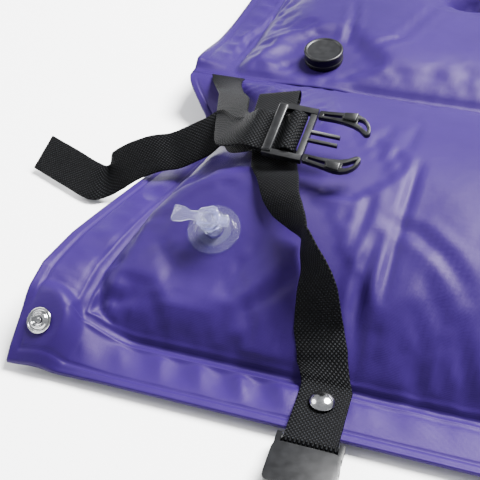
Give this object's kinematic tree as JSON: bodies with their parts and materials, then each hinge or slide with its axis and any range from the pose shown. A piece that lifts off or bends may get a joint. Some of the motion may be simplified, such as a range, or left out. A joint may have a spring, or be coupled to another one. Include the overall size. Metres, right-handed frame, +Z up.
{
  "type": "self-inflating sleeping mat",
  "caption": "Self-inflating sleeping mat with an attached inflatable pillow, webbing straps with side-release buckles, press studs along its welded edge and a screw valve.",
  "frame": {"origin": "on the flat underside, at the middle of the whole mat and pillow", "axes": "+Y along the mat from the pillow to the foot, +X to the right seen from above with the pillow nearest, +Z up"},
  "size_m": [0.7424, 1.8846, 0.0873],
  "materials": {
    "fabric": "satin",
    "foam": "matte",
    "black_plastic": "satin",
    "gasket": "matte",
    "clear_vinyl": "gloss",
    "chrome": "polished",
    "webbing": "matte"
  },
  "bodies": {
    "mat": {"mat_top_skin": "fabric", "mat_bottom_skin": "fabric", "mat_foam_core": "foam", "mat_valve_base": "black_plastic", "mat_valve_ring": "black_plastic", "snap_socket_left_mid_foot": "chrome", "snap_back_left_mid_foot": "chrome", "snap_socket_left_foot": "chrome", "snap_back_left_foot": "chrome", "snap_stud_right_mid_foot": "chrome", "snap_back_right_mid_foot": "chrome", "snap_stud_right_foot": "chrome", "snap_back_right_foot": "chrome", "snap_socket_left_mid_head": "chrome", "snap_back_left_mid_head": "chrome", "snap_stud_right_mid_head": "chrome", "snap_back_right_mid_head": "chrome"},
    "pillow": {"pillow_top_skin": "fabric", "pillow_bottom_skin": "fabric", "pillow_valve_disc": "clear_vinyl", "pillow_valve_membrane": "clear_vinyl", "snap_socket_left_head": "chrome", "snap_back_left_head": "chrome", "snap_stud_right_head": "chrome", "snap_back_right_head": "chrome", "left_strap_fixed_webbing": "webbing", "left_strap_free_webbing": "webbing", "left_plug_buckle_frame": "black_plastic", "left_strap_rivet_cap": "chrome", "left_strap_rivet_back": "chrome", "right_strap_fixed_webbing": "webbing", "right_strap_free_webbing": "webbing", "right_plug_buckle_frame": "black_plastic", "right_strap_rivet_cap": "chrome", "right_strap_rivet_back": "chrome"},
    "mat_valve_screw": {"mat_valve_stem": "black_plastic", "mat_valve_gasket": "gasket"},
    "mat_valve_turning_cap": {"mat_valve_cap": "black_plastic"},
    "pillow_valve_sliding_stem": {"pillow_valve_stem": "clear_vinyl"},
    "pillow_valve_stopper": {"pillow_valve_plug": "clear_vinyl"},
    "left_upper_prong": {"left_plug_buckle_upper_prong": "black_plastic"},
    "left_lower_prong": {"left_plug_buckle_lower_prong": "black_plastic"},
    "left_socket": {"left_socket_buckle": "black_plastic"},
    "right_upper_prong": {"right_plug_buckle_upper_prong": "black_plastic"},
    "right_lower_prong": {"right_plug_buckle_lower_prong": "black_plastic"},
    "right_socket": {"right_socket_buckle": "black_plastic"}
  },
  "joints": [
    {"name": "pillow_fold", "type": "hinge", "parent": "mat", "child": "pillow", "pos_m": [0, -0.645, 0.026], "axis": [-1, 0, 0], "range_deg": [0, 40]},
    {"name": "mat_valve_lift", "type": "slide", "parent": "mat", "child": "mat_valve_screw", "axis": [-0.03, -0.1902, 0.9813], "range_m": [0, 0.004]},
    {"name": "mat_valve_turn", "type": "hinge", "parent": "mat_valve_screw", "child": "mat_valve_turning_cap", "pos_m": [-0.20903, -0.61522, 0.03463], "axis": [-0.03, -0.1902, 0.9813], "range_deg": [0, 360]},
    {"name": "pillow_valve_push", "type": "slide", "parent": "pillow", "child": "pillow_valve_sliding_stem", "axis": [0.0503, 0.4426, -0.8953], "range_m": [0, 0.008]},
    {"name": "pillow_valve_stopper_swing", "type": "hinge", "parent": "pillow_valve_sliding_stem", "child": "pillow_valve_stopper", "pos_m": [-0.2071, -0.846, 0.05573], "axis": [-0.0248, 0.8967, 0.4419], "range_deg": [0, 130]},
    {"name": "left_upper_prong_squeeze", "type": "hinge", "parent": "pillow", "child": "left_upper_prong", "pos_m": [-0.17832, -0.77786, 0.08306], "axis": [-0.0364, -0.4162, 0.9086], "range_deg": [-8, 0], "stiffness_Nm_per_rad": 0.3},
    {"name": "left_lower_prong_squeeze", "type": "hinge", "parent": "pillow", "child": "left_lower_prong", "pos_m": [-0.18024, -0.79976, 0.07294], "axis": [-0.0364, -0.4162, 0.9086], "range_deg": [0, 8], "stiffness_Nm_per_rad": 0.3},
    {"name": "left_socket_swing", "type": "hinge", "parent": "pillow", "child": "left_socket", "pos_m": [-0.141, -0.933, 0.0074], "axis": [-1, 0, 0], "range_deg": [0, 60]},
    {"name": "right_upper_prong_squeeze", "type": "hinge", "parent": "pillow", "child": "right_upper_prong", "pos_m": [0.17832, -0.77786, 0.08306], "axis": [-0.0364, 0.4162, -0.9086], "range_deg": [-8, 0], "stiffness_Nm_per_rad": 0.3},
    {"name": "right_lower_prong_squeeze", "type": "hinge", "parent": "pillow", "child": "right_lower_prong", "pos_m": [0.18024, -0.79976, 0.07294], "axis": [-0.0364, 0.4162, -0.9086], "range_deg": [0, 8], "stiffness_Nm_per_rad": 0.3},
    {"name": "right_socket_swing", "type": "hinge", "parent": "pillow", "child": "right_socket", "pos_m": [0.141, -0.933, 0.0074], "axis": [-1, 0, 0], "range_deg": [0, 60]}
  ],
  "couplings": [
    {"joint": "mat_valve_lift", "follows": "mat_valve_turn", "m_per_rad": 0.00063662}
  ]
}
